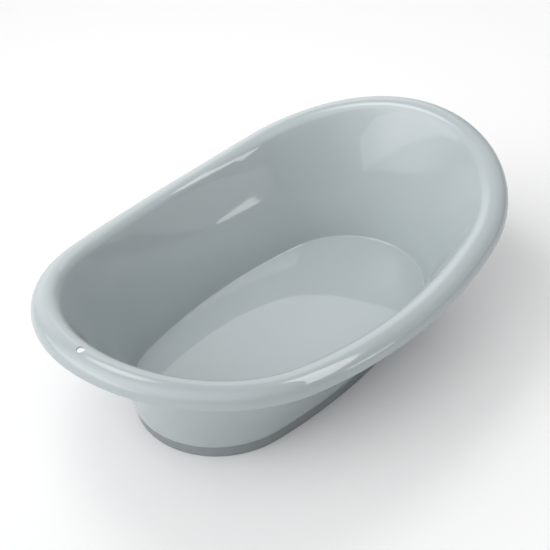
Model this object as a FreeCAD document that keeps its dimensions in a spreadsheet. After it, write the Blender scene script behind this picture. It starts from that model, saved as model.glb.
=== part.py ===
"""Baby bathtub: a one-piece moulded basin on a soft foot ring, with a lift-out drain plug.

Frame: +X runs from the foot end to the head end, +Y across, +Z up.  The origin is on the
ground, under the middle of the rim.  All lengths are in millimetres.
"""
import FreeCAD, Part
import math
import os
import Sketcher
from FreeCAD import Vector

# alias: (value, what it is)
DIMENSIONS = {
    "rim_length": (790.0, "outside length over the rim"),
    "rim_width": (526.7, "outside width over the rim"),
    "rim_foot_radius": (244.9, "plan radius of the rim at the foot end"),
    "rim_head_radius": (251.2, "plan radius of the rim at the head end"),
    "rim_side_height": (194.5, "crest of the rim above the ground, middle of the sides"),
    "rim_foot_rise": (50.2, "extra crest height at the foot end"),
    "rim_head_rise": (63.0, "extra crest height at the head end"),
    "rim_half_width": (22.1, "half the width of the rolled rim"),
    "rim_crown": (20.2, "height of the rolled rim from its widest line to its crest"),
    "rim_join_angle": (26.0, "angle where the rolled rim runs into the wall, degrees"),
    "skirt_depth": (22.6, "crest to the lower edge of the rim's skirt"),
    "skin": (2.6, "thickness of the wall, the rim and the foot skirt"),
    "floor_length": (558.2, "length of the floor inside"),
    "floor_width": (296.4, "width of the floor inside"),
    "floor_foot_radius": (135.8, "plan radius of the floor at the foot end"),
    "floor_head_radius": (130.3, "plan radius of the floor at the head end"),
    "floor_shift": (-3.1, "centre of the floor from the middle of the rim, along X"),
    "floor_height": (27.4, "top of the floor above the ground"),
    "floor_skin": (2.4, "thickness of the floor"),
    "floor_fillet": (3.0, "radius where the floor meets the wall inside"),
    "under_chamfer": (1.5, "bevel where the foot skirt meets the underside of the floor"),
    "ledge_height": (23.9, "step under the wall's outer foot, above the ground"),
    "edge_round": (0.6, "rounding of the wall's outer foot"),
    "skirt_round": (0.4, "rounding of the foot skirt's lower edge"),
    "wall_foot_offset": (2.0, "outer foot of the wall outside the floor line"),
    "wall_flare": (1.35, "how the wall leans out with height: 1 is straight, more is curved"),
    "ring_inset": (2.5, "outside of the foot ring inside the floor line"),
    "ring_gap": (0.3, "ease between the foot ring and the basin"),
    "ring_thickness": (2.2, "thickness of the foot ring's outer upright"),
    "ring_sole": (2.0, "thickness of the foot ring under the foot skirt"),
    "ring_grip_height": (11.0, "height of the foot ring's inner upright"),
    "ring_grip": (1.6, "thickness of the foot ring's inner upright"),
    "ring_edge": (0.7, "bevel of the foot ring's outer edges"),
    "hanging_hole_radius": (5.25, "hole for a hook in the crest of the rim at the foot end"),
    "drain_place": (-225.0, "centre of the drain along X"),
    "drain_radius": (12.5, "drain hole"),
    "drain_seat_radius": (14.0, "countersink of the drain hole at the floor"),
    "drain_seat_depth": (1.1, "depth of the countersink"),
    "drain_collar_radius": (15.4, "collar round the drain hole under the floor, outside"),
    "drain_collar_bottom": (15.0, "lower end of the collar above the ground"),
    "plug_stem_radius": (10.6, "stem of the plug"),
    "plug_stem_bottom": (16.0, "bottom of the stem above the ground"),
    "plug_flange_radius": (19.0, "flange of the plug"),
    "plug_flange": (2.6, "thickness of the plug's flange at its edge"),
    "plug_dome": (1.6, "rise of the flange's top to the middle"),
    "plug_tab_width": (20.0, "finger tab, width"),
    "plug_tab_thickness": (3.6, "finger tab, thickness"),
    "plug_tab_height": (13.0, "finger tab, height over the flange"),
    "seal_radius": (17.0, "soft seal under the flange, outside"),
    "seal_thickness": (1.5, "soft seal between the floor and the flange"),
    "seal_sleeve": (1.3, "thickness of the seal's sleeve round the stem"),
    "seal_sleeve_bottom": (18.0, "bottom of the sleeve above the ground"),
}
STATIONS = 96          # points round each closed outline
RIM_STEPS = 12         # straight steps that stand for the round of the rim
FILLET_STEPS = 4       # straight steps that stand for the fillet at the floor
WALL_SHARES = (0.12, 0.28, 0.5, 0.75)     # heights of the wall's level lines, 0 foot to 1 rim

doc = FreeCAD.newDocument("baby_bathtub")
sheet = doc.addObject("Spreadsheet::Sheet", "Dimensions")
for row, (alias, (value, note)) in enumerate(DIMENSIONS.items(), start=1):
    sheet.set("A%d" % row, note)
    sheet.set("B%d" % row, str(value))
    sheet.setAlias("B%d" % row, alias)
doc.recompute()


def size(alias):
    """The number that the sheet holds under an alias."""
    return float(getattr(sheet, alias))


def bind(thing, path, formula):
    """Bind a property or a named constraint to the sheet; words of the sheet are in braces."""
    thing.setExpression(path, formula.replace("{", "Dimensions.").replace("}", ""))


# ---------------------------------------------------------------- closed outlines
class Oval:
    """A closed outline of four tangent arcs: foot end, head end and two long sides."""

    def __init__(self, length, width, foot_radius, head_radius, shift):
        self.foot_radius = foot_radius
        self.head_radius = head_radius
        self.foot_x = shift - length / 2 + foot_radius
        self.head_x = shift + length / 2 - head_radius
        self.side_radius = self.find_side_radius(width / 2)
        self.side_drop = self.side_radius - width / 2
        reach = math.sqrt((self.side_radius - foot_radius) ** 2 - self.side_drop ** 2)
        self.side_x = self.foot_x + reach
        self.foot_angle = math.atan2(self.side_drop, self.foot_x - self.side_x)
        self.head_angle = math.atan2(self.side_drop, self.head_x - self.side_x)

    def find_side_radius(self, half_width):
        """Radius of the long sides that touches both ends, by halving an interval."""
        low = half_width + 1.0
        high = 1e5
        for _ in range(80):
            middle = (low + high) / 2
            drop = middle - half_width
            reach = math.sqrt((middle - self.foot_radius) ** 2 - drop ** 2)
            reach += math.sqrt((middle - self.head_radius) ** 2 - drop ** 2)
            if reach < self.head_x - self.foot_x:
                low = middle
            else:
                high = middle
        return (low + high) / 2

    def point(self, angle):
        """The point whose outward normal points along the angle, counted from +X."""
        side = 1.0 if math.sin(angle) >= 0.0 else -1.0
        turn = math.acos(max(-1.0, min(1.0, math.cos(angle))))
        if turn <= self.head_angle:
            centre_x, centre_y, radius = self.head_x, 0.0, self.head_radius
        elif turn >= self.foot_angle:
            centre_x, centre_y, radius = self.foot_x, 0.0, self.foot_radius
        else:
            centre_x, centre_y, radius = self.side_x, -self.side_drop, self.side_radius
        return centre_x + radius * math.cos(turn), side * (centre_y + radius * math.sin(turn))

    def half_turns(self, count):
        """Normal angles from 0 to pi of points evenly spaced along half of the outline."""
        fine = 4000
        turns = [math.pi * i / fine for i in range(fine + 1)]
        points = [self.point(turn) for turn in turns]
        run = [0.0]
        for (x0, y0), (x1, y1) in zip(points, points[1:]):
            run.append(run[-1] + math.hypot(x1 - x0, y1 - y0))
        chosen = []
        place = 0
        for k in range(count + 1):
            while place < fine and run[place] < run[-1] * k / count:
                place += 1
            chosen.append(turns[place])
        return chosen


def rim_outline():
    return Oval(size("rim_length"), size("rim_width"), size("rim_foot_radius"),
                size("rim_head_radius"), 0.0)


def floor_outline():
    return Oval(size("floor_length"), size("floor_width"), size("floor_foot_radius"),
                size("floor_head_radius"), size("floor_shift"))


def crest_height(x):
    """Height of the rim's crest: lowest at the sides, rising to both ends."""
    along = 2.0 * x / size("rim_length")
    mean = (size("rim_head_rise") + size("rim_foot_rise")) / 2
    skew = (size("rim_head_rise") - size("rim_foot_rise")) / 2
    return size("rim_side_height") + along ** 2 * (mean + skew * along)


def closed_wire(points):
    curve = Part.BSplineCurve()
    knots = [i / len(points) for i in range(len(points) + 1)]
    curve.interpolate(Points=points, PeriodicFlag=True, Parameters=knots)
    return Part.Wire([curve.toShape()])


# ---------------------------------------------------------------- basin
class BasinRings:
    """Closed level lines of the basin's skin, in order from its underside to its floor."""

    def __init__(self):
        self.rim = rim_outline()
        self.floor = floor_outline()
        half = self.rim.half_turns(STATIONS // 2)
        self.turns = half + [2 * math.pi - turn for turn in half[-2:0:-1]]
        self.wires = []

    def add_base(self, offset, height):
        """A level line round the floor, offset outwards."""
        points = []
        for turn in self.turns:
            x, y = self.floor.point(turn)
            points.append(Vector(x + offset * math.cos(turn), y + offset * math.sin(turn), height))
        self.wires.append(closed_wire(points))

    def add_rim(self, inset, depth):
        """A line along the rim, inside its outline and below its crest."""
        points = []
        for turn in self.turns:
            x, y = self.rim.point(turn)
            points.append(Vector(x - inset * math.cos(turn), y - inset * math.sin(turn),
                                 crest_height(x) - depth))
        self.wires.append(closed_wire(points))

    def add_crown(self, step, thinner):
        """One line on the rolled rim, step 0 at the outside; thinner moves it into the skin."""
        last = 180.0 - size("rim_join_angle")
        angle = math.radians(last * step / RIM_STEPS)
        half = size("rim_half_width")
        crown = size("rim_crown")
        self.add_rim(half - (half - thinner) * math.cos(angle),
                     crown - (crown - thinner) * math.sin(angle))

    def wall_ends(self, turn, thinner):
        """Foot and top of the wall's slope at one normal angle."""
        foot_x, foot_y = self.floor.point(turn)
        offset = size("wall_foot_offset") + thinner - size("skin")
        foot = Vector(foot_x + offset * math.cos(turn), foot_y + offset * math.sin(turn),
                      size("ledge_height") + size("edge_round"))
        join = math.radians(size("rim_join_angle"))
        inset = size("rim_half_width") + (size("rim_half_width") - thinner) * math.cos(join)
        drop = size("rim_crown") - (size("rim_crown") - thinner) * math.sin(join)
        top_x, top_y = self.rim.point(turn)
        top = Vector(top_x - inset * math.cos(turn), top_y - inset * math.sin(turn),
                     crest_height(top_x) - drop)
        return foot, top

    def wall_point(self, turn, share, thinner):
        """A point on the wall, share 0 at its foot and 1 where it runs into the rim."""
        foot, top = self.wall_ends(turn, thinner)
        lean = share ** size("wall_flare")
        return Vector(foot.x + (top.x - foot.x) * lean, foot.y + (top.y - foot.y) * lean,
                      foot.z + (top.z - foot.z) * share)

    def add_wall(self, share, thinner):
        self.wires.append(closed_wire([self.wall_point(turn, share, thinner)
                                       for turn in self.turns]))

    def add_floor_edge(self, inward, height):
        """A level line inwards of the foot of the wall's inner face."""
        start = size("floor_height") + size("floor_fillet")
        points = []
        for turn in self.turns:
            foot, top = self.wall_ends(turn, 0.0)
            spot = self.wall_point(turn, (start - foot.z) / (top.z - foot.z), 0.0)
            points.append(Vector(spot.x - inward * math.cos(turn),
                                 spot.y - inward * math.sin(turn), height))
        self.wires.append(closed_wire(points))


def basin_skin():
    """Floor, wall, rolled rim and foot skirt as one moulding, skinned through level lines."""
    rings = BasinRings()
    skin = size("skin")
    skirt_out = -size("ring_inset") - size("ring_thickness") - size("ring_gap")
    skirt_in = skirt_out - skin
    skirt_bottom = size("ring_sole") + size("ring_gap")
    skirt_round = size("skirt_round")
    underside = size("floor_height") - size("floor_skin")
    bevel = size("under_chamfer")
    ledge = size("ledge_height")
    # underside of the floor, foot skirt, and the step that the foot ring closes
    rings.add_base(skirt_in - bevel, underside)
    rings.add_base(skirt_in, underside - bevel)
    rings.add_base(skirt_in, skirt_bottom + skirt_round)
    rings.add_base(skirt_in + skirt_round, skirt_bottom)
    rings.add_base(skirt_out - skirt_round, skirt_bottom)
    rings.add_base(skirt_out, skirt_bottom + skirt_round)
    rings.add_base(skirt_out, ledge)
    rings.add_base(size("wall_foot_offset") - size("edge_round"), ledge)
    # outside of the wall, and the open channel under the rim
    rings.add_wall(0.0, skin)
    for share in WALL_SHARES:
        rings.add_wall(share, skin)
    for step in range(RIM_STEPS, -1, -1):
        rings.add_crown(step, skin)
    rings.add_rim(skin, size("skirt_depth") - skin / 4)
    rings.add_rim(skin * 3 / 4, size("skirt_depth"))
    rings.add_rim(skin / 4, size("skirt_depth"))
    rings.add_rim(0.0, size("skirt_depth") - skin / 4)
    # outside and top of the rim
    for step in range(RIM_STEPS + 1):
        rings.add_crown(step, 0.0)
    # inside of the wall, and the fillet down to the floor
    for share in reversed(WALL_SHARES):
        rings.add_wall(share, 0.0)
    fillet = size("floor_fillet")
    for step in range(FILLET_STEPS + 1):
        angle = math.radians(90.0 * step / FILLET_STEPS)
        rings.add_floor_edge(fillet * (1 - math.cos(angle)),
                             size("floor_height") + fillet * (1 - math.sin(angle)))
    solid = Part.makeLoft(rings.wires, True, True, False)
    if solid.Volume < 0:
        solid.reverse()
    return solid


def make_basin():
    """The moulding with a collar under its drain, its drain hole and its hanging hole."""
    blank = doc.addObject("Part::Feature", "basin_blank")
    blank.Shape = basin_skin()

    collar = doc.addObject("Part::Cylinder", "drain_collar")
    bind(collar, "Radius", "{drain_collar_radius}")
    bind(collar, "Height", "{floor_height} - {floor_skin} / 2 - {drain_collar_bottom}")
    bind(collar, "Placement.Base.x", "{drain_place}")
    bind(collar, "Placement.Base.z", "{drain_collar_bottom}")
    body = doc.addObject("Part::MultiFuse", "basin_body")
    body.Shapes = [blank, collar]

    hook = doc.addObject("Part::Cylinder", "hanging_hole_tool")
    bind(hook, "Radius", "{hanging_hole_radius}")
    bind(hook, "Height", "{rim_crown} + {skin}")
    bind(hook, "Placement.Base.x", "{rim_half_width} - {rim_length} / 2")
    bind(hook, "Placement.Base.z", "{rim_side_height} + {rim_foot_rise} - {rim_crown}")

    drain = doc.addObject("Part::Cylinder", "drain_tool")
    bind(drain, "Radius", "{drain_radius}")
    bind(drain, "Height", "2 * {floor_height}")
    bind(drain, "Placement.Base.x", "{drain_place}")

    seat = doc.addObject("Part::Cone", "drain_seat_tool")
    bind(seat, "Radius1", "{drain_radius}")
    bind(seat, "Radius2", "{drain_seat_radius}")
    bind(seat, "Height", "{drain_seat_depth}")
    bind(seat, "Placement.Base.x", "{drain_place}")
    bind(seat, "Placement.Base.z", "{floor_height} - {drain_seat_depth}")

    tools = doc.addObject("Part::MultiFuse", "basin_holes")
    tools.Shapes = [hook, drain, seat]
    basin = doc.addObject("Part::Cut", "basin")
    basin.Base = body
    basin.Tool = tools
    return basin


# ---------------------------------------------------------------- sketches
def origin_plane(body, role):
    return next(f for f in body.Origin.OriginFeatures if f.Role == role)


def new_sketch(body, name, role, lift=None):
    """A sketch on one of the body's own origin planes, lifted off it by a formula."""
    sketch = body.newObject("Sketcher::SketchObject", name)
    sketch.AttachmentSupport = [(origin_plane(body, role), "")]
    sketch.MapMode = "FlatFace"
    if lift:
        bind(sketch, "AttachmentOffset.Base.z", lift)
    return sketch


def add_floor_oval(sketch, name, offset):
    """Four tangent arcs along the floor's outline, offset outwards by a formula."""
    grow = offset_value(offset)
    oval = Oval(size("floor_length") + 2 * grow, size("floor_width") + 2 * grow,
                size("floor_foot_radius") + grow, size("floor_head_radius") + grow,
                size("floor_shift"))
    up = Vector(0, 0, 1)
    head_circle = Part.Circle(Vector(oval.head_x, 0, 0), up, oval.head_radius)
    foot_circle = Part.Circle(Vector(oval.foot_x, 0, 0), up, oval.foot_radius)
    left_circle = Part.Circle(Vector(oval.side_x, -oval.side_drop, 0), up, oval.side_radius)
    right_circle = Part.Circle(Vector(oval.side_x, oval.side_drop, 0), up, oval.side_radius)
    head = sketch.addGeometry(Part.ArcOfCircle(head_circle, -oval.head_angle, oval.head_angle))
    left = sketch.addGeometry(Part.ArcOfCircle(left_circle, oval.head_angle, oval.foot_angle))
    foot = sketch.addGeometry(Part.ArcOfCircle(foot_circle, oval.foot_angle,
                                               2 * math.pi - oval.foot_angle))
    right = sketch.addGeometry(Part.ArcOfCircle(right_circle, 2 * math.pi - oval.foot_angle,
                                                2 * math.pi - oval.head_angle))
    for first, second in ((head, left), (left, foot), (foot, right), (right, head)):
        sketch.addConstraint(Sketcher.Constraint("Tangent", first, 2, second, 1))
    sketch.addConstraint(Sketcher.Constraint("PointOnObject", head, 3, -1))
    sketch.addConstraint(Sketcher.Constraint("PointOnObject", foot, 3, -1))
    sketch.addConstraint(Sketcher.Constraint("Equal", left, right))
    named_constraint(sketch, name + "_head_radius", ("Radius", head), oval.head_radius,
                     "{floor_head_radius} + " + offset)
    named_constraint(sketch, name + "_foot_radius", ("Radius", foot), oval.foot_radius,
                     "{floor_foot_radius} + " + offset)
    named_constraint(sketch, name + "_head_centre", ("DistanceX", -1, 1, head, 3), oval.head_x,
                     "{floor_shift} + {floor_length} / 2 - {floor_head_radius}")
    named_constraint(sketch, name + "_foot_centre", ("DistanceX", foot, 3, -1, 1), -oval.foot_x,
                     "{floor_length} / 2 - {floor_shift} - {floor_foot_radius}")
    top = sketch.addGeometry(Part.Point(Vector(oval.side_x, oval.side_radius - oval.side_drop, 0)),
                             True)
    sketch.addConstraint(Sketcher.Constraint("PointOnObject", top, 1, left))
    sketch.addConstraint(Sketcher.Constraint("Vertical", top, 1, left, 3))
    named_constraint(sketch, name + "_half_width", ("DistanceY", -1, 1, top, 1),
                     oval.side_radius - oval.side_drop, "{floor_width} / 2 + " + offset)


def offset_value(formula):
    """The value of a sum or difference of sheet words, for a sketch's starting shape."""
    total = 0.0
    sign = 1.0
    for word in formula.split():
        if word in "+-":
            sign = 1.0 if word == "+" else -1.0
        elif word != "0":
            total += sign * size(word.strip("{}"))
    return total


def named_constraint(sketch, name, what, value, formula):
    """Add a sized constraint under a name and bind it to the sheet."""
    index = sketch.addConstraint(Sketcher.Constraint(*what, value))
    sketch.renameConstraint(index, name)
    bind(sketch, "Constraints." + name, formula)


def section_sketch(body, name, corners):
    """A closed section in the XZ plane; each corner is (radius formula, height formula)."""
    sketch = new_sketch(body, name, "XZ_Plane")
    spots = [Vector(offset_value(r), offset_value(z), 0) for r, z in corners]
    count = len(spots)
    lines = [sketch.addGeometry(Part.LineSegment(spots[i], spots[(i + 1) % count]))
             for i in range(count)]
    for i in range(count):
        sketch.addConstraint(Sketcher.Constraint("Coincident", lines[i], 2,
                                                 lines[(i + 1) % count], 1))
    for i, (radius, height) in enumerate(corners):
        if radius == "0":
            sketch.addConstraint(Sketcher.Constraint("PointOnObject", lines[i], 1, -2))
        else:
            named_constraint(sketch, "radius_%d" % i, ("DistanceX", -1, 1, lines[i], 1),
                             spots[i].x, radius)
        named_constraint(sketch, "height_%d" % i, ("DistanceY", -1, 1, lines[i], 1),
                         spots[i].y, height)
    return sketch


# ---------------------------------------------------------------- foot ring
def cut_pocket(body, name, offsets, top, depth):
    """Cut down from a height: inside one oval, or between an outer and an inner one."""
    sketch = new_sketch(body, name + "_outline", "XY_Plane", top)
    for place, offset in enumerate(offsets):
        add_floor_oval(sketch, "oval_%d" % place, offset)
    pocket = body.newObject("PartDesign::Pocket", name)
    pocket.Profile = sketch
    bind(pocket, "Length", depth)
    return pocket


def make_foot_ring():
    """Soft ring pressed on over the foot skirt: outer upright, sole and inner upright."""
    body = doc.addObject("PartDesign::Body", "foot_ring")
    outside = "0 - {ring_inset}"
    channel_out = outside + " - {ring_thickness}"
    channel_in = channel_out + " - {ring_gap} - {skin} - {ring_gap}"
    grip_in = channel_in + " - {ring_grip}"

    block = body.newObject("PartDesign::Pad", "ring_block")
    outline = new_sketch(body, "ring_outline", "XY_Plane")
    add_floor_oval(outline, "outside", outside)
    block.Profile = outline
    bind(block, "Length", "{ledge_height} - {ring_gap}")
    cut_pocket(body, "ring_mouth", [channel_out], "{ledge_height} - {ring_gap}",
               "{ledge_height} - {ring_gap} - {ring_grip_height}")
    cut_pocket(body, "ring_channel", [channel_out, channel_in], "{ring_grip_height}",
               "{ring_grip_height} - {ring_sole}")
    hollow = cut_pocket(body, "ring_hollow", [grip_in], "{ring_grip_height}",
                        "{ring_grip_height} + {ring_sole}")
    doc.recompute()

    edges = []
    for i, edge in enumerate(hollow.Shape.Edges, start=1):
        box = edge.BoundBox
        on_level = box.ZLength < 1e-6
        top = size("ledge_height") - size("ring_gap")
        at_end = min(abs(box.ZMin), abs(box.ZMin - top)) < 1e-6
        if on_level and at_end and on_outline(edge):
            edges.append("Edge%d" % i)
    rounding = body.newObject("PartDesign::Chamfer", "ring_edges")
    rounding.Base = (hollow, edges)
    bind(rounding, "Size", "{ring_edge}")
    body.Tip = rounding
    return body


def on_outline(edge):
    """Whether an edge's middle lies on the foot ring's outline."""
    middle = edge.valueAt((edge.FirstParameter + edge.LastParameter) / 2)
    oval = floor_outline()
    grow = -size("ring_inset")
    nearest = min(math.hypot(oval.point(turn)[0] + grow * math.cos(turn) - middle.x,
                             oval.point(turn)[1] + grow * math.sin(turn) - middle.y)
                  for turn in (math.radians(d / 4) for d in range(1440)))
    return nearest < size("ring_thickness") / 2


# ---------------------------------------------------------------- drain plug
def revolve(body, sketch, name):
    turned = body.newObject("PartDesign::Revolution", name)
    turned.Profile = sketch
    turned.ReferenceAxis = (sketch, ["V_Axis"])
    turned.Angle = 360
    return turned


def make_drain_plug():
    """Plug turned about its own axis, with a finger tab standing on its flange."""
    body = doc.addObject("PartDesign::Body", "drain_plug")
    bind(body, "Placement.Base.x", "{drain_place}")
    flange_low = "{floor_height} + {seal_thickness}"
    flange_high = flange_low + " + {plug_flange}"
    section = section_sketch(body, "plug_section", [
        ("0", "{plug_stem_bottom}"),
        ("{plug_stem_radius}", "{plug_stem_bottom}"),
        ("{plug_stem_radius}", flange_low),
        ("{plug_flange_radius}", flange_low),
        ("{plug_flange_radius}", flange_high),
        ("0", flange_high + " + {plug_dome}"),
    ])
    turned = revolve(body, section, "plug_turned")

    outline = new_sketch(body, "tab_outline", "YZ_Plane", None)
    half = size("plug_tab_width") / 2
    low = offset_value(flange_high)
    spring = low + size("plug_tab_height") - half
    bow = outline.addGeometry(Part.ArcOfCircle(
        Part.Circle(Vector(0, spring, 0), Vector(0, 0, 1), half), 0, math.pi))
    left = outline.addGeometry(Part.LineSegment(Vector(-half, spring, 0), Vector(-half, low, 0)))
    foot = outline.addGeometry(Part.LineSegment(Vector(-half, low, 0), Vector(half, low, 0)))
    right = outline.addGeometry(Part.LineSegment(Vector(half, low, 0), Vector(half, spring, 0)))
    outline.addConstraint(Sketcher.Constraint("Tangent", bow, 2, left, 1))
    outline.addConstraint(Sketcher.Constraint("Coincident", left, 2, foot, 1))
    outline.addConstraint(Sketcher.Constraint("Coincident", foot, 2, right, 1))
    outline.addConstraint(Sketcher.Constraint("Tangent", right, 2, bow, 1))
    outline.addConstraint(Sketcher.Constraint("PointOnObject", bow, 3, -2))
    outline.addConstraint(Sketcher.Constraint("Horizontal", foot))
    named_constraint(outline, "tab_radius", ("Radius", bow), half, "{plug_tab_width} / 2")
    named_constraint(outline, "tab_foot", ("DistanceY", -1, 1, foot, 1), low, flange_high)
    named_constraint(outline, "tab_top", ("DistanceY", -1, 1, bow, 3), spring,
                     flange_high + " + {plug_tab_height} - {plug_tab_width} / 2")
    tab = body.newObject("PartDesign::Pad", "plug_tab")
    tab.Profile = outline
    tab.Midplane = True
    bind(tab, "Length", "{plug_tab_thickness}")
    body.Tip = tab
    doc.recompute()
    return body


def make_plug_seal():
    """Soft ring under the plug's flange, with a sleeve down round the stem."""
    body = doc.addObject("PartDesign::Body", "plug_seal")
    bind(body, "Placement.Base.x", "{drain_place}")
    seal_top = "{floor_height} + {seal_thickness}"
    sleeve = "{plug_stem_radius} + {seal_sleeve}"
    section = section_sketch(body, "seal_section", [
        ("{plug_stem_radius}", "{seal_sleeve_bottom}"),
        (sleeve, "{seal_sleeve_bottom}"),
        (sleeve, "{floor_height}"),
        ("{seal_radius}", "{floor_height}"),
        ("{seal_radius}", seal_top),
        ("{plug_stem_radius}", seal_top),
    ])
    body.Tip = revolve(body, section, "seal_turned")
    return body


# ---------------------------------------------------------------- build, check and write
def check(thing):
    if "Invalid" in thing.State or "Error" in thing.State:
        raise RuntimeError("%s failed: %s" % (thing.Label, thing.State))


def main():
    sub_parts = [make_basin(), make_foot_ring(), make_drain_plug(), make_plug_seal()]
    doc.recompute()
    for thing in doc.Objects:
        check(thing)
    os.makedirs("parts", exist_ok=True)
    for part in sub_parts:
        shape = part.Shape
        if shape.isNull() or not shape.isValid() or len(shape.Solids) != 1:
            raise RuntimeError("%s has no single valid solid" % part.Label)
        shape.exportStep(os.path.join("parts", part.Label + ".step"))
        box = shape.BoundBox
        print("%-12s %8.1f cm3  x %.1f %.1f  y %.1f %.1f  z %.1f %.1f" % (
            part.Label, shape.Volume / 1000, box.XMin, box.XMax, box.YMin, box.YMax,
            box.ZMin, box.ZMax))


main()
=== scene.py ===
"""Baby bathtub: the looks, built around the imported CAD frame.

Frame as in CAD: +X from the foot end to the head end, +Y across, +Z up, metres.
"""

import math

import bmesh
import bpy
from mathutils import Matrix, Vector
from mathutils.geometry import tessellate_polygon


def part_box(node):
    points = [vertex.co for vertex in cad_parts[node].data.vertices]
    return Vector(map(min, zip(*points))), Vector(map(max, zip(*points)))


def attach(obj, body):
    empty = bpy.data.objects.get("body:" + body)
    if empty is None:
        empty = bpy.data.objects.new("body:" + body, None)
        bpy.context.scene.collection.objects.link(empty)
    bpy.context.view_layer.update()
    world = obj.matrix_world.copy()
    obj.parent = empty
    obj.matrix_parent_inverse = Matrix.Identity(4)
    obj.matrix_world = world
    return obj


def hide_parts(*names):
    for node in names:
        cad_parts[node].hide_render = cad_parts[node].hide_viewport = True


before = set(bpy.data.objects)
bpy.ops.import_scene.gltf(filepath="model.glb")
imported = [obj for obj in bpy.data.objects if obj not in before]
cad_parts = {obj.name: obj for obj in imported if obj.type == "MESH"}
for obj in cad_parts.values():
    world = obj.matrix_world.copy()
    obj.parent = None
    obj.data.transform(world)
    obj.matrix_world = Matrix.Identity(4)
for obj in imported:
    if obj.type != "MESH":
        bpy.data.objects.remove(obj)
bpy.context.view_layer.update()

MM = 0.001

# ---------------------------------------------------------------- sizes from the frame
_, BASIN_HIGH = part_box("basin")
_, RING_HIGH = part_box("foot_ring")
PLUG_LOW, PLUG_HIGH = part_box("drain_plug")
SEAL_LOW, SEAL_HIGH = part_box("plug_seal")

RIM_LENGTH = 790.0 * MM
RIM_WIDTH = 526.7 * MM
RIM_FOOT_RADIUS = 244.9 * MM
RIM_HEAD_RADIUS = 251.2 * MM
RIM_HEAD_RISE = 63.0 * MM
RIM_FOOT_RISE = 50.2 * MM
RIM_SIDE_HEIGHT = BASIN_HIGH.z - RIM_HEAD_RISE
RIM_HALF_WIDTH = 22.1 * MM
RIM_CROWN = 20.2 * MM
SKIRT_DEPTH = 22.6 * MM
SKIN = 2.6 * MM

FLOOR_LENGTH = 558.2 * MM
FLOOR_WIDTH = 296.4 * MM
FLOOR_FOOT_RADIUS = 135.8 * MM
FLOOR_HEAD_RADIUS = 130.3 * MM
FLOOR_SHIFT = -3.1 * MM
SEAL_THICKNESS = 1.5 * MM
FLOOR_THICKNESS = 2.4 * MM
FLOOR_TOP = SEAL_HIGH.z - SEAL_THICKNESS
FLOOR_UNDERSIDE = FLOOR_TOP - FLOOR_THICKNESS
FLOOR_FILLET = 3.0 * MM
RING_EASE = 0.3 * MM    # gap all round the press-on ring
LEDGE_HEIGHT = RING_HIGH.z + RING_EASE
WALL_FOOT_ROUND = 0.8 * MM
WALL_FOOT = LEDGE_HEIGHT + 0.6 * MM
WALL_FOOT_OFFSET = 2.0 * MM
WALL_FLARE = 1.35
RING_OUT = -2.5 * MM
FOOT_SKIRT_OUT = RING_OUT - 2.5 * MM
FOOT_SKIRT_IN = FOOT_SKIRT_OUT - SKIN

HOOK_HOLE_RADIUS = 5.25 * MM
HOOK_HOLE_X = -RIM_LENGTH / 2 + RIM_HALF_WIDTH
HOOK_UPPER_LIP = 0.9 * MM
HOOK_LOWER_LIP = 0.5 * MM
DRAIN_X = (PLUG_LOW.x + PLUG_HIGH.x) / 2
DRAIN_RADIUS = 12.5 * MM
DRAIN_EDGE_ROUND = 1.0 * MM
COLLAR_RADIUS = 15.4 * MM
COLLAR_BOTTOM = 15.0 * MM
PLUG_STEM_RADIUS = 10.6 * MM

STATIONS = 288          # points round each closed outline
CROWN_STEPS = 20        # rows over the round of the rim
WALL_STEPS = 18         # rows up the wall
CORNER_STEPS = 4        # rows round a small rounded corner
HALVINGS = 80           # when an outline's side radius is searched for
FINE_STEPS = 4000       # when points are spaced evenly round an outline
JOIN_ROUNDS = 8         # when the wall's run into the rim is settled
JOIN_GUESS = math.pi - 0.4


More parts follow.
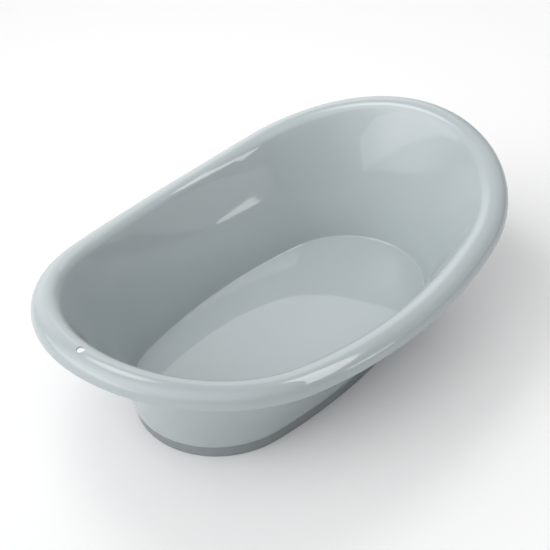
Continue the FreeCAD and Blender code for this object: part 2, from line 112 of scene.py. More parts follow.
# ---------------------------------------------------------------- closed outlines
class Oval:
    """A closed outline of four tangent arcs: foot end, head end and two long sides."""

    def __init__(self, length, width, foot_radius, head_radius, shift):
        self.foot_radius = foot_radius
        self.head_radius = head_radius
        self.foot_x = shift - length / 2 + foot_radius
        self.head_x = shift + length / 2 - head_radius
        self.side_radius = self.find_side_radius(width / 2)
        self.side_drop = self.side_radius - width / 2
        self.side_x = self.foot_x + self.reach(self.side_radius, width / 2, foot_radius)
        self.foot_angle = math.atan2(self.side_drop, self.foot_x - self.side_x)
        self.head_angle = math.atan2(self.side_drop, self.head_x - self.side_x)

    def reach(self, side_radius, half_width, end_radius):
        """Distance along X between the centres of a side arc and an end arc that touch."""
        drop = side_radius - half_width
        return math.sqrt(max((side_radius - end_radius) ** 2 - drop ** 2, 0.0))

    def find_side_radius(self, half_width):
        low, high = half_width + 1 * MM, 100.0
        for _ in range(HALVINGS):
            middle = (low + high) / 2
            span = self.reach(middle, half_width, self.foot_radius)
            span += self.reach(middle, half_width, self.head_radius)
            if span < self.head_x - self.foot_x:
                low = middle
            else:
                high = middle
        return (low + high) / 2

    def point(self, turn):
        """The point whose outward normal points along the angle, counted from +X."""
        side = 1.0 if math.sin(turn) >= 0.0 else -1.0
        angle = math.acos(max(-1.0, min(1.0, math.cos(turn))))
        if angle <= self.head_angle:
            x, y, radius = self.head_x, 0.0, self.head_radius
        elif angle >= self.foot_angle:
            x, y, radius = self.foot_x, 0.0, self.foot_radius
        else:
            x, y, radius = self.side_x, -self.side_drop, self.side_radius
        return Vector((x + radius * math.cos(angle), side * (y + radius * math.sin(angle)), 0.0))

    def even_turns(self, count):
        """Normal angles of points evenly spaced round the outline, symmetric about X."""
        turns = [math.pi * i / FINE_STEPS for i in range(FINE_STEPS + 1)]
        points = [self.point(turn) for turn in turns]
        run = [0.0]
        for here, there in zip(points, points[1:]):
            run.append(run[-1] + (there - here).length)
        half = []
        place = 0
        for k in range(count // 2 + 1):
            while place < FINE_STEPS and run[place] < run[-1] * k * 2 / count:
                place += 1
            half.append(turns[place])
        return half + [2 * math.pi - turn for turn in half[-2:0:-1]]


RIM = Oval(RIM_LENGTH, RIM_WIDTH, RIM_FOOT_RADIUS, RIM_HEAD_RADIUS, 0.0)
FLOOR = Oval(FLOOR_LENGTH, FLOOR_WIDTH, FLOOR_FOOT_RADIUS, FLOOR_HEAD_RADIUS, FLOOR_SHIFT)
TURNS = RIM.even_turns(STATIONS)


def outward(turn):
    return Vector((math.cos(turn), math.sin(turn), 0.0))


def crest_height(x):
    """Height of the rim's crest: lowest at the sides, rising to both ends."""
    along = 2.0 * x / RIM_LENGTH
    mean = (RIM_HEAD_RISE + RIM_FOOT_RISE) / 2
    skew = (RIM_HEAD_RISE - RIM_FOOT_RISE) / 2
    return RIM_SIDE_HEIGHT + along ** 2 * (mean + skew * along)


def base_point(turn, offset, height):
    """A point at a height, offset outwards from the floor's outline."""
    point = FLOOR.point(turn) + outward(turn) * offset
    point.z = height
    return point


def rim_point(turn, inset, depth):
    """A point inside the rim's outline, below the crest there."""
    edge = RIM.point(turn)
    point = edge - outward(turn) * inset
    point.z = crest_height(edge.x) - depth
    return point


def crown_point(turn, angle, thinner=0.0):
    """A point on the rim's round: angle 0 outermost, pi innermost; thinner goes into the skin."""
    return rim_point(turn, RIM_HALF_WIDTH - (RIM_HALF_WIDTH - thinner) * math.cos(angle),
                     RIM_CROWN - (RIM_CROWN - thinner) * math.sin(angle))


def wall_foot(turn, thinner):
    """Foot of the wall's outer face, or of a face thinner by so much."""
    return base_point(turn, WALL_FOOT_OFFSET + thinner - SKIN, WALL_FOOT)


def join_angle(turn, thinner):
    """Angle on the rim's round where the wall, leaning as it does there, runs in smoothly."""
    foot = wall_foot(turn, thinner)
    join = JOIN_GUESS
    for _ in range(JOIN_ROUNDS):
        steep = lean_of(foot, crown_point(turn, join, thinner), 1.0)
        ratio = (RIM_CROWN - thinner) / (RIM_HALF_WIDTH - thinner)
        join = math.pi - math.atan(ratio * math.tan(steep))
    return join


def lean_of(foot, top, share):
    """Angle between the wall and the vertical at a share of its height."""
    rise = top - foot
    return math.atan(WALL_FLARE * share ** (WALL_FLARE - 1) * rise.xy.length / rise.z)


def wall_spot(foot, top, share):
    """A point on the wall's slope, share 0 at its foot and 1 where it runs into the rim."""
    spot = foot.lerp(top, share ** WALL_FLARE)
    spot.z = foot.z + (top.z - foot.z) * share
    return spot


# ---------------------------------------------------------------- mesh tools
def new_piece(name, points, faces, body, replaced=None):
    """A smooth-shaded mesh piece that rides on a CAD body."""
    mesh = bpy.data.meshes.new(name)
    mesh.from_pydata([tuple(p) for p in points], [], faces)
    mesh.validate()
    mesh.shade_smooth()
    piece = bpy.data.objects.new(name, mesh)
    bpy.context.scene.collection.objects.link(piece)
    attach(piece, body)
    if replaced:
        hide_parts(replaced)
    return piece


class Shell:
    """Points and faces of one mesh while it is put together."""

    def __init__(self):
        self.points = []
        self.faces = []

    def row(self, points):
        first = len(self.points)
        self.points.extend(points)
        return list(range(first, len(self.points)))

    def bridge(self, here, there, skip=()):
        """Quads between two closed rows, leaving out the columns in skip."""
        count = len(here)
        for column in range(count):
            if column not in skip:
                following = (column + 1) % count
                self.faces.append((here[column], here[following],
                                   there[following], there[column]))

    def chain(self, rows):
        for here, there in zip(rows, rows[1:]):
            self.bridge(here, there)

    def fill(self, outer, inner):
        """Flat triangles between an outer loop and a hole's loop."""
        loops = [[self.points[i] for i in outer], [self.points[i] for i in inner]]
        index = outer + inner
        for triangle in tessellate_polygon(loops):
            self.faces.append(tuple(index[corner] for corner in triangle))


def circle(centre_x, centre_y, radius, height, count, start=0.0):
    return [Vector((centre_x + radius * math.cos(start + 2 * math.pi * k / count),
                    centre_y + radius * math.sin(start + 2 * math.pi * k / count), height))
            for k in range(count)]


def span(start, end, steps):
    """Evenly spaced numbers from start to end, both included."""
    return [start + (end - start) * k / steps for k in range(steps + 1)]


def outward_faces(mesh):
    build = bmesh.new()
    build.from_mesh(mesh)
    bmesh.ops.recalc_face_normals(build, faces=build.faces)
    build.to_mesh(mesh)
    build.free()


# ---------------------------------------------------------------- basin
def base_row(shell, offset, height):
    return shell.row([base_point(turn, offset, height) for turn in TURNS])


def rim_row(shell, inset, depth):
    return shell.row([rim_point(turn, inset, depth) for turn in TURNS])


class WallFace:
    """One face of the wall: its foot, its top and where it joins the rim, at every station."""

    def __init__(self, thinner):
        self.thinner = thinner
        self.joins = [join_angle(turn, thinner) for turn in TURNS]
        self.feet = [wall_foot(turn, thinner) for turn in TURNS]
        self.tops = [crown_point(turn, join, thinner) for turn, join in zip(TURNS, self.joins)]

    def rows_up(self, shell, starts):
        """Rows from the start shares to just below the rim's round."""
        rows = []
        for step in span(0.0, 1.0, WALL_STEPS)[:-1]:
            rows.append(shell.row([wall_spot(foot, top, start + (1.0 - start) * step)
                                   for foot, top, start in zip(self.feet, self.tops, starts)]))
        return rows

    def crown_rows(self, shell):
        """Rows over the rim's round, from the wall's side to the outermost line."""
        return [shell.row([crown_point(turn, join * step, self.thinner)
                           for turn, join in zip(TURNS, self.joins)])
                for step in span(1.0, 0.0, CROWN_STEPS)]

    def fillet_rows(self, shell):
        """Rows from the floor's flat up the fillet; also the shares where the wall takes over."""
        starts, centres, bends = [], [], []
        for turn, foot, top in zip(TURNS, self.feet, self.tops):
            rise = top.z - foot.z
            near = (FLOOR_TOP + 0.7 * FLOOR_FILLET - foot.z) / rise
            lean = lean_of(foot, top, near)
            height = FLOOR_TOP + FLOOR_FILLET * (1 - math.sin(lean))
            starts.append((height - foot.z) / rise)
            spot = wall_spot(foot, top, starts[-1])
            centres.append(spot - outward(turn) * FLOOR_FILLET * math.cos(lean))
            bends.append(math.pi / 2 - lean)
        rows = []
        for reach in (6.0, 2.0, 0.5):
            rows.append(shell.row([at_height(centre - outward(turn) * reach * MM, FLOOR_TOP)
                                   for turn, centre in zip(TURNS, centres)]))
        for step in span(0.0, 1.0, 6)[:-1]:
            rows.append(shell.row([
                at_height(centre + outward(turn) * FLOOR_FILLET * math.sin(bend * step),
                          FLOOR_TOP + FLOOR_FILLET * (1 - math.cos(bend * step)))
                for turn, centre, bend in zip(TURNS, centres, bends)]))
        return rows, starts


def at_height(point, height):
    return Vector((point.x, point.y, height))


def foot_end_height(x, y, thinner):
    """Height of the rim's round above a spot near the foot end."""
    turn = math.atan2(y, x - RIM.foot_x)
    inset = RIM_FOOT_RADIUS - math.hypot(x - RIM.foot_x, y)
    across = (RIM_HALF_WIDTH - inset) / (RIM_HALF_WIDTH - thinner)
    drop = (RIM_CROWN - thinner) * math.sqrt(1 - across ** 2)
    return crest_height(RIM.foot_x + RIM_FOOT_RADIUS * math.cos(turn)) - RIM_CROWN + drop


def hook_window():
    """Columns and rows of the rim's round that the hanging hole's patch takes the place of."""
    middle = STATIONS // 2
    columns = range(middle - 3, middle + 3)
    rows = range(CROWN_STEPS // 2 - 4, CROWN_STEPS // 2 + 6)
    return columns, rows


def bridge_crown(shell, rows, thinner, lip):
    """Joins the rows over the rim, patched round the hanging hole; returns the hole's loop."""
    columns, window = hook_window()
    for k, (here, there) in enumerate(zip(rows, rows[1:])):
        shell.bridge(here, there, columns if k in window else ())
    first, last = columns[0], columns[-1] + 1
    top, bottom = window[0], window[-1] + 1
    edge = [rows[top][c] for c in range(first, last)]
    edge += [rows[r][last] for r in range(top, bottom)]
    edge += [rows[bottom][c] for c in range(last, first, -1)]
    edge += [rows[r][first] for r in range(bottom, top, -1)]
    spots = [shell.points[i] for i in edge]
    hole = Vector((HOOK_HOLE_X, 0.0, 0.0))
    angles = [math.atan2(spot.y - hole.y, spot.x - hole.x) for spot in spots]
    ring_radius = HOOK_HOLE_RADIUS + lip
    loops = [edge]
    for share in (0.25, 0.5, 0.72, 0.88, 0.96, 1.0):
        points = []
        for spot, angle in zip(spots, angles):
            x = spot.x + (hole.x + ring_radius * math.cos(angle) - spot.x) * share
            y = spot.y + (hole.y + ring_radius * math.sin(angle) - spot.y) * share
            points.append(Vector((x, y, foot_end_height(x, y, thinner))))
        loops.append(shell.row(points))
    way = -1.0 if thinner == 0.0 else 1.0
    for tilt in (30.0, 60.0, 90.0):
        bend = math.radians(tilt)
        points = []
        for angle in angles:
            radius = ring_radius - lip * math.sin(bend)
            x = hole.x + radius * math.cos(angle)
            y = hole.y + radius * math.sin(angle)
            level = foot_end_height(hole.x + ring_radius * math.cos(angle),
                                    hole.y + ring_radius * math.sin(angle), thinner)
            points.append(Vector((x, y, level + way * lip * (1 - math.cos(bend)))))
        loops.append(shell.row(points))
    shell.chain(loops)
    return loops[-1]


def lathe_loops(shell, profile, count=72):
    """Loops round the drain's axis through (radius, height) spots."""
    loops = [shell.row(circle(DRAIN_X, 0.0, radius, height, count)) for radius, height in profile]
    shell.chain(loops)
    return loops


def seat_profile():
    """From the floor round the drain over the hole's rounded edge."""
    edge = DRAIN_RADIUS + DRAIN_EDGE_ROUND
    profile = [(edge + reach * MM, FLOOR_TOP) for reach in (8.0, 4.0, 1.6, 0.6, 0.1)]
    for bend in span(0.35, math.pi / 2, CORNER_STEPS):
        profile.append((edge - DRAIN_EDGE_ROUND * math.sin(bend),
                        FLOOR_TOP - DRAIN_EDGE_ROUND * (1 - math.cos(bend))))
    return profile


def collar_profile():
    """From the underside round the drain, down the collar and over its end into the hole."""
    profile = [(COLLAR_RADIUS + reach * MM, FLOOR_UNDERSIDE) for reach in (8.0, 4.0, 2.0, 1.0)]
    for bend in span(0.0, math.pi / 2, CORNER_STEPS)[1:]:
        profile.append((COLLAR_RADIUS + DRAIN_EDGE_ROUND * (1 - math.sin(bend)),
                        FLOOR_UNDERSIDE - DRAIN_EDGE_ROUND * (1 - math.cos(bend))))
    profile.append((COLLAR_RADIUS, (FLOOR_UNDERSIDE + COLLAR_BOTTOM) / 2))
    middle = (COLLAR_RADIUS + DRAIN_RADIUS) / 2
    half = (COLLAR_RADIUS - DRAIN_RADIUS) / 2
    rounding = 0.6 * MM
    for side in (1.0, -1.0):
        for bend in span(0.0, math.pi / 2, CORNER_STEPS):
            swing = bend if side > 0 else math.pi / 2 - bend
            profile.append((middle + side * (half - rounding * (1 - math.cos(swing))),
                            COLLAR_BOTTOM + rounding * (1 - math.sin(swing))))
    return profile


def make_basin():
    """The one-piece moulding, skinned from the floor up the wall, over the rim and back down."""
    shell = Shell()
    # floor, fillet, wall and rim, inside and on top
    face = WallFace(0.0)
    fillet, starts = face.fillet_rows(shell)
    crown = face.crown_rows(shell)
    shell.chain(fillet + face.rows_up(shell, starts) + [crown[0]])
    upper_hole = bridge_crown(shell, crown, 0.0, HOOK_UPPER_LIP)
    # skirt, with a rounded lower edge
    edge = SKIN / 2
    skirt = [crown[-1], rim_row(shell, 0.0, (RIM_CROWN + SKIRT_DEPTH - edge) / 2)]
    for bend in span(0.0, math.pi, 8):
        skirt.append(rim_row(shell, edge * (1 - math.cos(bend)),
                             SKIRT_DEPTH - edge * (1 - math.sin(bend))))
    shell.chain(skirt)
    # open channel under the rim, and the outside of the wall
    back = WallFace(SKIN)
    under = back.crown_rows(shell)
    shell.bridge(skirt[-1], under[-1])
    lower_hole = bridge_crown(shell, under, SKIN, HOOK_LOWER_LIP)
    outside = back.rows_up(shell, [0.0] * STATIONS)
    shell.chain(outside + [under[0]])
    shell.bridge(upper_hole, lower_hole)
    # rounded foot of the wall, ledge, foot skirt and underside of the floor
    base = [outside[0]]
    for bend in span(0.0, math.pi / 2, CORNER_STEPS)[1:]:
        base.append(base_row(shell, WALL_FOOT_OFFSET - WALL_FOOT_ROUND * (1 - math.cos(bend)),
                             WALL_FOOT + 0.2 * MM - WALL_FOOT_ROUND * math.sin(bend)))
    base.append(base_row(shell, FOOT_SKIRT_OUT, LEDGE_HEIGHT))
    tip = 2.3 * MM
    rounding = 0.5 * MM
    for side, foot in ((1.0, FOOT_SKIRT_OUT), (-1.0, FOOT_SKIRT_IN)):
        for bend in span(0.0, math.pi / 2, CORNER_STEPS):
            swing = bend if side > 0 else math.pi / 2 - bend
            base.append(base_row(shell, foot - side * rounding * (1 - math.cos(swing)),
                                 tip + rounding * (1 - math.sin(swing))))
    corner = 2.0 * MM
    for bend in span(0.0, math.pi / 2, 5):
        base.append(base_row(shell, FOOT_SKIRT_IN - corner * (1 - math.cos(bend)),
                             FLOOR_UNDERSIDE - corner * (1 - math.sin(bend))))
    for reach in (2.5, 6.0):
        base.append(base_row(shell, FOOT_SKIRT_IN - reach * MM, FLOOR_UNDERSIDE))
    shell.chain(base)
    # drain hole through the floor and its collar
    seat = lathe_loops(shell, seat_profile())
    collar = lathe_loops(shell, collar_profile())
    shell.bridge(seat[-1], collar[-1])
    shell.fill(fillet[0], seat[0])
    shell.fill(base[-1], collar[0])
    return new_piece("basin_moulding", shell.points, shell.faces, "tub", "basin")


# ---------------------------------------------------------------- foot ring
def section_rows(shell, corners):
    """Closed rows for a band whose section's rounded corners are (offset, height, radius)."""
    rows = []
    count = len(corners)
    for k, (offset, height, radius) in enumerate(corners):
        before = Vector(corners[k - 1][:2]) - Vector((offset, height))
        after = Vector(corners[(k + 1) % count][:2]) - Vector((offset, height))
        for share in span(0.0, 1.0, CORNER_STEPS):
            pull = (before.normalized() * (1 - share) ** 2 + after.normalized() * share ** 2)
            rows.append(base_row(shell, offset + pull.x * radius, height + pull.y * radius))
    return rows


def make_foot_ring():
    """Soft ring over the foot skirt: outer upright, sole and a lower inner upright."""
    shell = Shell()
    channel_out = FOOT_SKIRT_OUT + RING_EASE
    channel_in = FOOT_SKIRT_IN - RING_EASE
    grip_in = channel_in - 1.6 * MM
    grip_top = 11.0 * MM
    tread = 0.8 * MM
    rows = section_rows(shell, [
        (RING_OUT, tread, 0.9 * MM),
        (RING_OUT, RING_HIGH.z, 0.8 * MM),
        (channel_out, RING_HIGH.z, 0.3 * MM),
        (channel_out, 2.0 * MM, 0.3 * MM),
        (channel_in, 2.0 * MM, 0.3 * MM),
        (channel_in, grip_top, 0.4 * MM),
        (grip_in, grip_top, 0.4 * MM),
        (grip_in, tread, 0.5 * MM),
    ])
    shell.chain(rows + [rows[0]])
    return new_piece("foot_ring_band", shell.points, shell.faces, "tub",
                     "foot_ring")


def make_treads():
    """Short bars under the foot ring that grip the ground."""
    shell = Shell()
    middle = (RING_OUT + FOOT_SKIRT_IN - 1.9 * MM) / 2
    half_length, half_width, height = 2.4 * MM, 1.2 * MM, 1.2 * MM
    for turn in FLOOR.even_turns(120):
        centre = base_point(turn, middle, 0.0)
        along = outward(turn)
        side = Vector((-along.y, along.x, 0.0))
        loops = []
        for inset, level in ((0.5 * MM, 0.0), (0.15 * MM, 0.15 * MM), (0.0, 0.5 * MM),
                             (0.0, height)):
            loops.append(shell.row([
                centre + along * (sx * (half_length - inset)) + side * (sy * (half_width - inset))
                + Vector((0, 0, level)) for sx, sy in ((1, 1), (-1, 1), (-1, -1), (1, -1))]))
        shell.chain(loops)
        shell.faces.append(tuple(reversed(loops[0])))
        shell.faces.append(tuple(loops[-1]))
    return new_piece("foot_ring_treads", shell.points, shell.faces, "tub")


# ---------------------------------------------------------------- drain plug
def rounded_profile(corners, steps=5):
    """A lathe profile whose corners (radius, height, rounding) are replaced by small curves."""
    profile = []
    for k, (radius, height, rounding) in enumerate(corners):
        here = Vector((radius, height))
        if k in (0, len(corners) - 1) or rounding == 0.0:
            profile.append(here)
            continue
        before = (Vector(corners[k - 1][:2]) - here).normalized() * rounding
        after = (Vector(corners[k + 1][:2]) - here).normalized() * rounding
        for share in span(0.0, 1.0, steps):
            profile.append(here + before * (1 - share) ** 2 + after * share ** 2)
    return profile


def lathe(shell, profile, closed, count=96):
    """Turns a profile round the drain's axis; an open profile starts and ends on the axis."""
    rows = [shell.row(circle(DRAIN_X, 0.0, max(spot.x, 1e-5), spot.y, count)) for spot in profile]
    shell.chain(rows)
    if closed:
        shell.bridge(rows[-1], rows[0])
    else:
        shell.faces.append(tuple(reversed(rows[0])))
        shell.faces.append(tuple(rows[-1]))


def make_drain_plug():
    """Stem and flange with a dished top, as one moulding."""
    shell = Shell()
    stem = PLUG_STEM_RADIUS
    flange = (PLUG_HIGH.x - PLUG_LOW.x) / 2
    low = SEAL_HIGH.z
    high = low + 2.6 * MM
    lathe(shell, rounded_profile([
        (0.0, PLUG_LOW.z + 0.9 * MM, 0.0),
        (stem - 3.0 * MM, PLUG_LOW.z + 0.9 * MM, 0.5 * MM),
        (stem - 2.2 * MM, PLUG_LOW.z, 0.4 * MM),
        (stem, PLUG_LOW.z, 0.5 * MM),
        (stem, low, 0.2 * MM),
        (flange, low, 0.6 * MM),
        (flange, high, 0.9 * MM),
        (flange - 3.0 * MM, high + 0.1 * MM, 0.6 * MM),
        (flange - 4.2 * MM, high - 0.5 * MM, 0.6 * MM),
        (5.0 * MM, high + 0.4 * MM, 2.0 * MM),
        (0.0, high + 0.6 * MM, 0.0),
    ]), closed=False)
    return new_piece("drain_plug_body", shell.points, shell.faces, "plug",
                     "drain_plug")


def make_plug_tab():
    """Half-round finger tab with a thicker edge bead and a thinner web."""
    shell = Shell()
    half_width = 10.0 * MM
    half_thick = 1.8 * MM
    low = SEAL_HIGH.z + 1.8 * MM
    spring = PLUG_HIGH.z - half_width
    outline = [Vector((half_width, low)), Vector((half_width, (low + spring) / 2))]
    outline += [Vector((half_width * math.cos(a), spring + half_width * math.sin(a)))
                for a in span(0.0, math.pi, 28)]
    outline += [Vector((-half_width, (low + spring) / 2)), Vector((-half_width, low))]
    hub = Vector((0.0, spring - 1.0 * MM))
    loops = []
    # (share of the outline's reach, half thickness) from the middle of one face to the other
    bead = [(0.02, 0.95 * MM), (0.35, 0.95 * MM), (0.66, 0.95 * MM), (0.74, 1.15 * MM),
            (0.80, 1.60 * MM), (0.86, half_thick), (0.93, half_thick), (0.98, 1.45 * MM),
            (1.0, 0.9 * MM)]
    section = bead + [(share, -thick) for share, thick in reversed(bead)]
    for share, thick in section:
        loops.append(shell.row([
            Vector((DRAIN_X + thick, hub.x + (spot.x - hub.x) * share,
                    max(low, hub.y + (spot.y - hub.y) * share))) for spot in outline]))
    for here, there in zip(loops, loops[1:]):
        shell.bridge(here, there)
    shell.faces.append(tuple(reversed(loops[0])))
    shell.faces.append(tuple(loops[-1]))
    return new_piece("drain_plug_tab", shell.points, shell.faces, "plug")


def make_plug_seal():
    """Soft washer under the flange with a lipped sleeve round the stem."""
    shell = Shell()
    stem = PLUG_STEM_RADIUS
    outer = (SEAL_HIGH.x - SEAL_LOW.x) / 2
    lathe(shell, rounded_profile([
        (stem + 0.05 * MM, FLOOR_TOP, 0.0),
        (stem + 0.05 * MM, SEAL_LOW.z, 0.0),
        (stem + 0.8 * MM, SEAL_LOW.z, 0.3 * MM),
        (stem + 1.3 * MM, SEAL_LOW.z + 1.0 * MM, 0.4 * MM),
        (stem + 1.2 * MM, FLOOR_TOP, 0.2 * MM),
        (outer - 0.4 * MM, FLOOR_TOP, 0.3 * MM),
        (outer, FLOOR_TOP + 0.7 * MM, 0.4 * MM),
        (outer - 0.6 * MM, SEAL_HIGH.z, 0.3 * MM),
        (stem + 0.05 * MM, SEAL_HIGH.z, 0.0),
    ]), closed=True)
    return new_piece("plug_seal_washer", shell.points, shell.faces, "plug",
                     "plug_seal")


# ---------------------------------------------------------------- materials
# two close tones of each material, and how rough it is
TUB_TONES = ((0.400, 0.447, 0.462), (0.418, 0.465, 0.480))
TUB_ROUGHNESS = (0.035, 0.06)
TUB_RIPPLE = 0.22 * MM
PLUG_TONES = ((0.430, 0.480, 0.496), (0.450, 0.500, 0.516))
PLUG_ROUGHNESS = (0.28, 0.38)
PLUG_RIPPLE = 0.05 * MM
RING_TONES = ((0.235, 0.262, 0.270), (0.26, 0.288, 0.296))
SEAL_TONES = ((0.42, 0.45, 0.46), (0.47, 0.50, 0.51))
RUBBER_ROUGHNESS = (0.52, 0.68)
PLASTIC_IOR = 1.49
PLASTIC_GRAIN = 0.001 * MM
RUBBER_GRAIN = 0.03 * MM


def node_material(name):
    material = bpy.data.materials.new(name)
    material.use_nodes = True
    nodes = material.node_tree.nodes
    return material, nodes, material.node_tree.links, nodes["Principled BSDF"]


def add_noise(nodes, links, scale, detail, roughness=0.5):
    place = nodes.new("ShaderNodeTexCoord")
    noise = nodes.new("ShaderNodeTexNoise")
    noise.inputs["Scale"].default_value = scale
    noise.inputs["Detail"].default_value = detail
    noise.inputs["Roughness"].default_value = roughness
    links.new(place.outputs["Object"], noise.inputs["Vector"])
    return noise


def add_range(nodes, links, source, low, high):
    """Rescales a 0 to 1 output to a range."""
    scaled = nodes.new("ShaderNodeMapRange")
    scaled.inputs["To Min"].default_value = low
    scaled.inputs["To Max"].default_value = high
    links.new(source, scaled.inputs["Value"])
    return scaled.outputs["Result"]


def add_tint(nodes, links, source, first, second):
    """Mixes two close colours by a 0 to 1 output."""
    ramp = nodes.new("ShaderNodeValToRGB")
    ramp.color_ramp.elements[0].position = 0.3
    ramp.color_ramp.elements[0].color = (*first, 1.0)
    ramp.color_ramp.elements[1].position = 0.7
    ramp.color_ramp.elements[1].color = (*second, 1.0)
    links.new(source, ramp.inputs["Fac"])
    return ramp.outputs["Color"]


def add_bumps(nodes, links, shader, layers):
    """Chains bumps of (height output, distance) into the shader's normal."""
    normal = None
    for height, distance in layers:
        bump = nodes.new("ShaderNodeBump")
        bump.inputs["Strength"].default_value = 1.0
        bump.inputs["Distance"].default_value = distance
        links.new(height, bump.inputs["Height"])
        if normal:
            links.new(normal, bump.inputs["Normal"])
        normal = bump.outputs["Normal"]
    links.new(normal, shader.inputs["Normal"])


def moulded_plastic(name, tones, roughness, ripple):
    """Glossy moulded plastic: faint flow tint, uneven gloss, slow ripple and fine grain."""
    material, nodes, links, shader = node_material(name)
    flow = add_noise(nodes, links, 5.0, 3.0)
    cloud = add_noise(nodes, links, 38.0, 4.0, 0.6)
    waves = add_noise(nodes, links, 14.0, 1.0)
    grain = add_noise(nodes, links, 900.0, 2.0)
    links.new(add_tint(nodes, links, flow.outputs["Fac"], *tones),
              shader.inputs["Base Color"])
    links.new(add_range(nodes, links, cloud.outputs["Fac"], *roughness),
              shader.inputs["Roughness"])
    add_bumps(nodes, links, shader, [(waves.outputs["Fac"], ripple),
                                     (grain.outputs["Fac"], PLASTIC_GRAIN)])
    shader.inputs["IOR"].default_value = PLASTIC_IOR
    return material


def soft_rubber(name, tones):
    """Matt soft rubber: mottled tone and gloss, fine grain."""
    material, nodes, links, shader = node_material(name)
    mottle = add_noise(nodes, links, 60.0, 5.0, 0.6)
    grain = add_noise(nodes, links, 1400.0, 3.0, 0.7)
    links.new(add_tint(nodes, links, mottle.outputs["Fac"], *tones),
              shader.inputs["Base Color"])
    links.new(add_range(nodes, links, mottle.outputs["Fac"], *RUBBER_ROUGHNESS),
              shader.inputs["Roughness"])
    add_bumps(nodes, links, shader, [(grain.outputs["Fac"], RUBBER_GRAIN)])
    return material


def paint(piece, material):
    piece.data.materials.clear()
    piece.data.materials.append(material)


# ---------------------------------------------------------------- stage, light and camera
STUDIO_HALF_SIZE = 30.0
STUDIO_TONE = (0.90, 0.90, 0.90, 1.0)
DOME_BASE = 0.27
GLOW_SPREAD = 40.0      # degrees from a glow's middle to where it has faded out
WARM_WHITE = (1.0, 0.985, 0.955)
# azimuth, elevation (degrees, from +X) and strength of each soft glow of the dome
DOME_GLOWS = [(-180.0, 40.0, 1.0), (0.0, 40.0, 0.45), (60.0, 15.0, 1.3), (150.0, 15.0, 1.1),
              (150.0, 40.0, 1.2), (-120.0, 62.0, 1.05)]


def make_floor():
    size = STUDIO_HALF_SIZE
    mesh = bpy.data.meshes.new("studio_floor")
    mesh.from_pydata([(-size, -size, 0.0), (size, -size, 0.0), (size, size, 0.0),
                      (-size, size, 0.0)], [], [(0, 1, 2, 3)])
    floor = bpy.data.objects.new("studio_floor", mesh)
    bpy.context.scene.collection.objects.link(floor)
    material, _, _, shader = node_material("studio_floor_paint")
    shader.inputs["Base Color"].default_value = STUDIO_TONE
    shader.inputs["Roughness"].default_value = 0.9
    shader.inputs["Specular IOR Level"].default_value = 0.1
    paint(floor, material)


def aim(thing, place, target, roll=0.0):
    """Puts a camera or light at a place, looking at a target."""
    view = (Vector(target) - Vector(place)).normalized()
    turn = view.to_track_quat("-Z", "Y").to_matrix().to_4x4()
    thing.matrix_world = Matrix.Translation(place) @ turn @ Matrix.Rotation(roll, 4, "Z")


def softbox(name, place, target, width, height, power, colour=(1.0, 1.0, 1.0), roll=0.0):
    data = bpy.data.lights.new(name, "AREA")
    data.shape = "RECTANGLE"
    data.size = width
    data.size_y = height
    data.energy = power
    data.color = colour
    light = bpy.data.objects.new(name, data)
    bpy.context.scene.collection.objects.link(light)
    aim(light, Vector(place), target, roll)
    return light


def sky_direction(azimuth, elevation):
    across, up = math.radians(azimuth), math.radians(elevation)
    return Vector((math.cos(across) * math.cos(up), math.sin(across) * math.cos(up),
                   math.sin(up)))


def add_glow(nodes, links, direction, centre, spread, strength):
    """A soft round glow of the studio's white dome, strongest towards its centre."""
    facing = nodes.new("ShaderNodeVectorMath")
    facing.operation = "DOT_PRODUCT"
    facing.inputs[1].default_value = centre
    links.new(direction, facing.inputs[0])
    glow = nodes.new("ShaderNodeMapRange")
    glow.interpolation_type = "SMOOTHSTEP"
    glow.inputs["From Min"].default_value = math.cos(math.radians(spread))
    glow.inputs["From Max"].default_value = 1.0
    glow.inputs["To Max"].default_value = strength
    links.new(facing.outputs["Value"], glow.inputs["Value"])
    return glow.outputs["Result"]


def make_dome():
    """White studio dome: even base light with broad soft glows."""
    world = bpy.data.worlds.new("studio")
    bpy.context.scene.world = world
    world.use_nodes = True
    nodes, links = world.node_tree.nodes, world.node_tree.links
    place = nodes.new("ShaderNodeTexCoord")
    total = None
    for azimuth, elevation, strength in DOME_GLOWS:
        glow = add_glow(nodes, links, place.outputs["Generated"],
                        sky_direction(azimuth, elevation), GLOW_SPREAD, strength)
        added = nodes.new("ShaderNodeMath")
        added.operation = "ADD"
        links.new(glow, added.inputs[0])
        if total:
            links.new(total, added.inputs[1])
        else:
            added.inputs[1].default_value = DOME_BASE
        total = added.outputs["Value"]
    links.new(total, nodes["Background"].inputs["Strength"])
    nodes["Background"].inputs["Color"].default_value = (1.0, 1.0, 1.0, 1.0)


def card(name, place, target, width, height, radiance, colour=(1.0, 1.0, 1.0), roll=0.0):
    """A softbox given by how bright its face is."""
    return softbox(name, place, target, width, height, radiance * math.pi * width * height,
                   colour, math.radians(roll))


def fade_card(light, inner, outer):
    """Lets a card's face fade out between two distances from its middle."""
    light.data.use_nodes = True
    nodes, links = light.data.node_tree.nodes, light.data.node_tree.links
    place = nodes.new("ShaderNodeNewGeometry")
    reach = nodes.new("ShaderNodeVectorMath")
    reach.operation = "DISTANCE"
    reach.inputs[1].default_value = light.location
    links.new(place.outputs["Position"], reach.inputs[0])
    fade = nodes.new("ShaderNodeMapRange")
    fade.interpolation_type = "SMOOTHSTEP"
    fade.inputs["From Min"].default_value = outer
    fade.inputs["From Max"].default_value = inner
    links.new(reach.outputs["Value"], fade.inputs["Value"])
    links.new(fade.outputs["Result"], nodes["Emission"].inputs["Strength"])


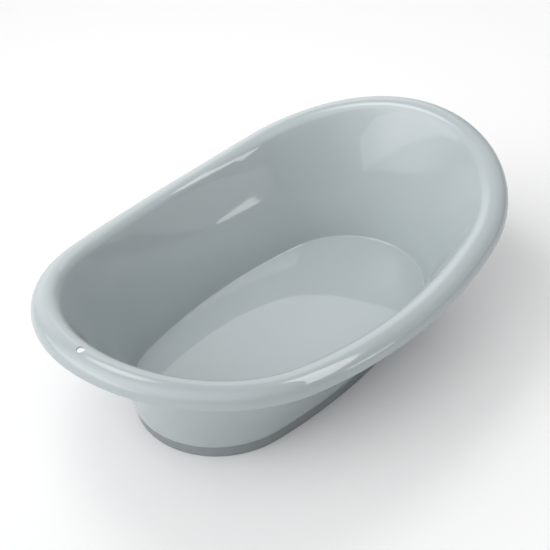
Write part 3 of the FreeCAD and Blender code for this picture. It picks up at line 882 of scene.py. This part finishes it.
def make_lights():
    make_dome()
    overhead = card("overhead_softbox", (-0.12, 0.62, 1.66), (-0.05, 0.0, 0.2), 1.1, 0.76, 5.0)
    fade_card(overhead, 0.14, 0.54)
    # cards that only draw highlights in the gloss
    for light in (
            card("right_card", (0.972, -1.056, 1.778), (-0.178, -0.233, 0.203), 1.96, 0.28, 5.2,
                 WARM_WHITE, 29.0),
            card("low_card", (1.14, -2.41, 0.72), (0.076, 0.184, 0.127), 0.42, 0.34, 4.5,
                 WARM_WHITE, -24.0),
            card("right_panel", (1.4, -1.73, 0.92), (0.0, 0.21, 0.17), 1.5, 0.5, 0.6),
            card("back_panel", (1.35, 1.35, 1.64), (0.0, 0.0, 0.03), 1.5, 0.9, 0.75),
            card("foot_panel", (-1.9, 1.0, 0.92), (0.32, 0.0, 0.2), 3.6, 0.50, 1.1)):
        light.visible_diffuse = False


CAMERA_AZIMUTH, CAMERA_ELEVATION, CAMERA_ROLL = -46.492, 38.309, -3.278    # degrees
CAMERA_DISTANCE = 1.544
CAMERA_TARGET_HEIGHT = 0.12
FOCAL_PIXELS = 1013.63
PICTURE_PIXELS = 550.0
# how far the target lies from the picture's middle
AIM_RIGHT_PIXELS, AIM_DOWN_PIXELS = 9.123, 6.056
SENSOR_WIDTH = 36.0     # millimetres


def make_camera():
    """Three-quarter view from the foot end and the near side, from above."""
    azimuth, elevation = math.radians(CAMERA_AZIMUTH), math.radians(CAMERA_ELEVATION)
    roll = math.radians(CAMERA_ROLL)
    aim_right, aim_down = AIM_RIGHT_PIXELS / FOCAL_PIXELS, AIM_DOWN_PIXELS / FOCAL_PIXELS
    target = Vector((0.0, 0.0, CAMERA_TARGET_HEIGHT))
    back = Vector((math.sin(azimuth) * math.cos(elevation),
                   -math.cos(azimuth) * math.cos(elevation), math.sin(elevation)))
    right = Vector((math.cos(azimuth), math.sin(azimuth), 0.0))
    up = back.cross(right)
    tilt_right = math.cos(roll) * right + math.sin(roll) * up
    tilt_up = -math.sin(roll) * right + math.cos(roll) * up
    facing = Matrix((tilt_right, tilt_up, back)).transposed().to_4x4()
    seen = Vector((aim_right, -aim_down, -1.0)).normalized()
    swing = Vector((0.0, 0.0, -1.0)).rotation_difference(seen).to_matrix().to_4x4()
    data = bpy.data.cameras.new("camera")
    data.sensor_width = SENSOR_WIDTH
    data.lens = SENSOR_WIDTH * FOCAL_PIXELS / PICTURE_PIXELS
    camera = bpy.data.objects.new("camera", data)
    bpy.context.scene.collection.objects.link(camera)
    place = Matrix.Translation(target + back * CAMERA_DISTANCE)
    camera.matrix_world = place @ facing @ swing.inverted()
    bpy.context.scene.camera = camera


# ---------------------------------------------------------------- put it together
def main():
    tub_plastic = moulded_plastic("tub_plastic", TUB_TONES, TUB_ROUGHNESS, TUB_RIPPLE)
    plug_plastic = moulded_plastic("plug_plastic", PLUG_TONES, PLUG_ROUGHNESS, PLUG_RIPPLE)
    ring_rubber = soft_rubber("ring_rubber", RING_TONES)
    seal_rubber = soft_rubber("seal_rubber", SEAL_TONES)
    for piece, material in ((make_basin(), tub_plastic), (make_foot_ring(), ring_rubber),
                            (make_treads(), ring_rubber), (make_drain_plug(), plug_plastic),
                            (make_plug_tab(), plug_plastic), (make_plug_seal(), seal_rubber)):
        outward_faces(piece.data)
        paint(piece, material)
    make_floor()
    make_lights()
    make_camera()
    bpy.context.scene.view_settings.view_transform = "Standard"


main()
